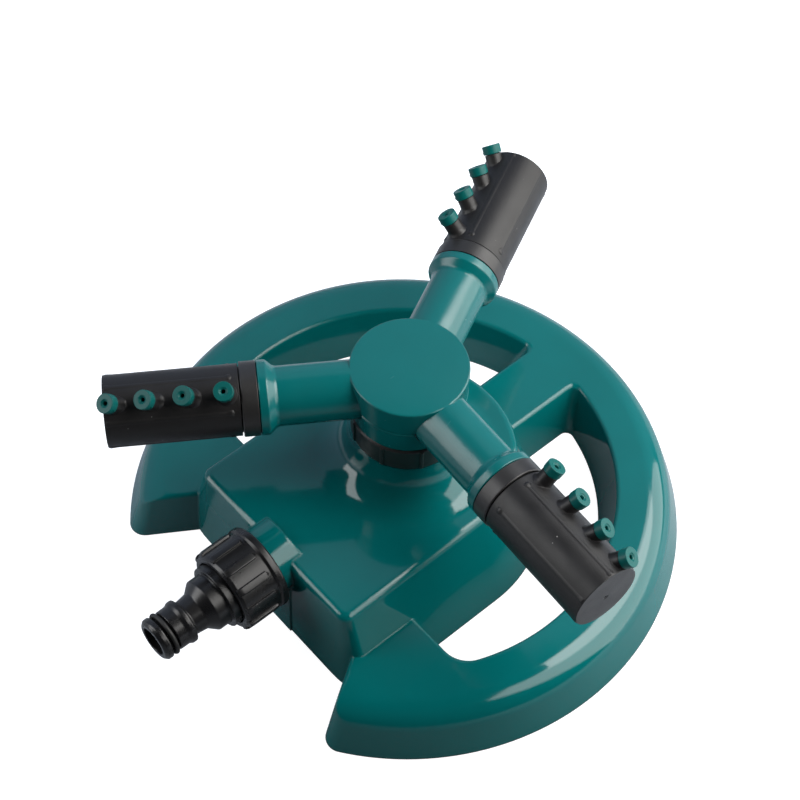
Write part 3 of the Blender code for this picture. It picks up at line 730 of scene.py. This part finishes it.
def build_connector():
    nut = obj_of("coupling_nut_ribbed", lathe([
        (13.7, 68.2), (15.6, 68.2), (16.3, 68.9), (16.3, 71.0), (15.5, 71.6), (15.4, 85.3), (14.5, 86.5),
        (12.6, 86.5), (12.6, 83.6), (13.7, 83.6),
    ], 120, matrix=along_y(0.0), soft=0.3))
    for i in range(COUPLING_RIBS):
        turn = Matrix.Rotation(math.radians(COUPLING_RIB_START + 360.0 / COUPLING_RIBS * i), 4, "Y")
        add(nut, grip(14.6, 16.4, 1.45, 72.4, 85.9, Matrix.Translation((0, 0, PIPE_Z)) @ turn))
    dress(nut, GLOSSY, "black_satin", "connector_nut", "coupling_nut")

    nipple = obj_of("hose_nipple", lathe([
        (8.0, 81.2), (13.2, 81.2), (13.2, 83.2), (12.2, 83.2), (12.2, 89.4), (10.2, 89.4), (10.2, 94.3),
        (7.3, 97.6), (6.7, 102.3), (8.5, 103.2), (8.5, 104.8), (7.8, 106.0), (7.75, 109.8), (6.6, 110.1),
        (6.6, 112.8), (8.2, 113.4), (8.2, 115.2), (7.0, 116.4), (5.5, 116.4), (5.5, 92.0),
    ], 96, matrix=along_y(0.0), soft=0.35))
    dress(nipple, GLOSSY, "black_satin", "connector", "connector_nipple")

    section = arc((7.6, 111.45), 0.8, 0.0, 360.0, 16)[:-1]
    ring = obj_of("nipple_seal", lathe(section, 72, matrix=along_y(0.0)))
    dress(ring, RUBBER, "rubber", "connector", "connector_o_ring")


build_base()
build_bearing()
build_rotor()
build_tubes()
build_connector()
for node, material in (("spindle", GLOSSY), ("thrust_washer", WASHER), ("spindle_seal", RUBBER),
                       ("connector_washer", RUBBER), ("arm_o_ring_a", RUBBER), ("arm_o_ring_b", RUBBER),
                       ("arm_o_ring_c", RUBBER)):
    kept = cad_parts[node]
    kept.data.materials.clear()
    kept.data.materials.append(material)


# ---------------------------------------------------------------- studio
def floor():
    """Plain pale floor: white to look at, greyer in what the plastic reflects, with painted light towards the
    back right and the left and painted shade, darkest there in front.
    """
    bm = bmesh.new()
    bmesh.ops.create_grid(bm, x_segments=2, y_segments=2, size=4.0)
    mesh = bpy.data.meshes.new("studio_floor")
    bm.to_mesh(mesh)
    bm.free()
    made = bpy.data.objects.new("studio_floor", mesh)
    LOOKS.objects.link(made)
    made.location.z = -0.0004
    n = Nodes("studio_paper")
    # Painted light and shade in the floor colour: lighter towards the back right and the left, darkest in
    # front where the object's shadow falls.
    painted_lit_sides = []
    for direction, low, high in (((0.69, 0.72, 0.0), 0.05, 0.16), ((-1.0, 0.0, 0.0), -0.04, 0.02)):
        dot = n.make("ShaderNodeVectorMath", operation="DOT_PRODUCT")
        n.link(n.place, dot.inputs[0])
        dot.inputs[1].default_value = direction
        painted_lit_sides.append(n.spread(dot.outputs["Value"], low, high, 0.0, 1.0))
    shade = n.mix(n.math("MAXIMUM", *painted_lit_sides), (0.20, 0.21, 0.23), (0.50, 0.54, 0.60))
    n.link(shade, n.shader.inputs["Base Color"])
    n.shader.inputs["Roughness"].default_value = 0.6
    n.shader.inputs["Specular IOR Level"].default_value = 0.2
    n.shader.inputs["Emission Color"].default_value = (1.0, 1.0, 1.0, 1.0)
    seen = n.make("ShaderNodeLightPath").outputs["Is Camera Ray"]
    n.link(n.math("MULTIPLY", seen, 0.96), n.shader.inputs["Emission Strength"])
    mesh.materials.append(n.material)


def softbox(name, place, width, height, power, colour=(1.0, 1.0, 1.0), roll=0.0):
    """An area light facing the object; without a height it is round."""
    light = bpy.data.lights.new(name, "AREA")
    light.shape = "RECTANGLE" if height else "DISK"
    light.size = width
    light.size_y = height or width
    light.energy = power
    light.color = colour
    made = bpy.data.objects.new(name, light)
    LOOKS.objects.link(made)
    made.location = place
    facing = (Vector((0.0, 0.0, 0.03)) - Vector(place)).to_track_quat("-Z", "Y").to_matrix()
    made.rotation_euler = (facing @ Matrix.Rotation(math.radians(roll), 3, "Z")).to_euler()


def room():
    """White to look at; the plastic reflects darkness and one pale wall at the back left, with no ceiling."""
    world = bpy.data.worlds.new("studio_world")
    world.use_nodes = True
    tree = world.node_tree

    def vector_math(operation, source, other=None):
        node = tree.nodes.new("ShaderNodeVectorMath")
        node.operation = operation
        tree.links.new(source, node.inputs[0])
        if other:
            node.inputs[1].default_value = other
        return node.outputs["Value" if operation == "DOT_PRODUCT" else "Vector"]

    def math_node(operation, first, second):
        node = tree.nodes.new("ShaderNodeMath")
        node.operation = operation
        tree.links.new(first, node.inputs[0])
        tree.links.new(second, node.inputs[1])
        return node.outputs[0]

    def step(source, low, high, to_low, to_high):
        node = tree.nodes.new("ShaderNodeMapRange")
        node.interpolation_type = "SMOOTHSTEP"
        for key, value in (("From Min", low), ("From Max", high), ("To Min", to_low), ("To Max", to_high)):
            node.inputs[key].default_value = value
        tree.links.new(source, node.inputs["Value"])
        return node.outputs["Result"]

    place = tree.nodes.new("ShaderNodeTexCoord").outputs["Generated"]
    level = vector_math("NORMALIZE", vector_math("MULTIPLY", place, (1.0, 1.0, 0.0)))
    side = step(vector_math("DOT_PRODUCT", level, (-0.924, 0.383, 0.0)), 0.30, 0.46, 0.015, 0.45)
    height = step(vector_math("DOT_PRODUCT", place, (0.0, 0.0, 1.0)), 0.877, 0.889, 1.0, 0.04)
    seen = tree.nodes.new("ShaderNodeLightPath").outputs["Is Camera Ray"]
    background = tree.nodes["Background"]
    wall = math_node("MULTIPLY", side, height)
    tree.links.new(math_node("MAXIMUM", wall, seen), background.inputs["Strength"])
    tint = tree.nodes.new("ShaderNodeMix")
    tint.data_type = "RGBA"
    tree.links.new(seen, tint.inputs[0])
    tint.inputs[6].default_value = (0.80, 0.95, 1.26, 1.0)
    tint.inputs[7].default_value = (1.0, 1.0, 1.0, 1.0)
    tree.links.new(tint.outputs[2], background.inputs["Color"])
    bpy.context.scene.world = world


def towards(azimuth, elevation, distance):
    """A place seen from the middle of the object; azimuth runs anticlockwise from +X."""
    turn, rise = math.radians(azimuth), math.radians(elevation)
    return (distance * math.cos(rise) * math.cos(turn), distance * math.cos(rise) * math.sin(turn),
            distance * math.sin(rise) + 0.03)


def studio():
    floor()
    room()
    warm = (1.0, 0.985, 0.955)
    softbox("key", towards(48, 35, 0.50), 0.60, 0.72, 5.2, warm, roll=15.0)
    softbox("key_core", towards(64, 54, 0.50), 0.36, 0.0, 1.3, warm)
    softbox("strip", towards(236, 30, 0.80), 0.30, 0.84, 3.3)


def camera():
    """Looks at AIM from above, TURN degrees round from the front, with its picture turned by ROLL."""
    data = bpy.data.cameras.new("camera")
    data.sensor_width = SENSOR
    data.lens = LENS
    made = bpy.data.objects.new("camera", data)
    LOOKS.objects.link(made)
    turn, rise, roll = math.radians(TURN), math.radians(RISE), math.radians(ROLL)
    back = Vector((math.sin(turn) * math.cos(rise), -math.cos(turn) * math.cos(rise), math.sin(rise)))
    right = Vector((math.cos(turn), math.sin(turn), 0.0))
    up = back.cross(right)
    across = right * math.cos(roll) - up * math.sin(roll)
    above = right * math.sin(roll) + up * math.cos(roll)
    place = (Vector(AIM) + back * DISTANCE) * MM
    made.matrix_world = Matrix.Translation(place) @ Matrix((across, above, back)).transposed().to_4x4()
    bpy.context.scene.camera = made


studio()
camera()
bpy.context.scene.view_settings.view_transform = "Standard"
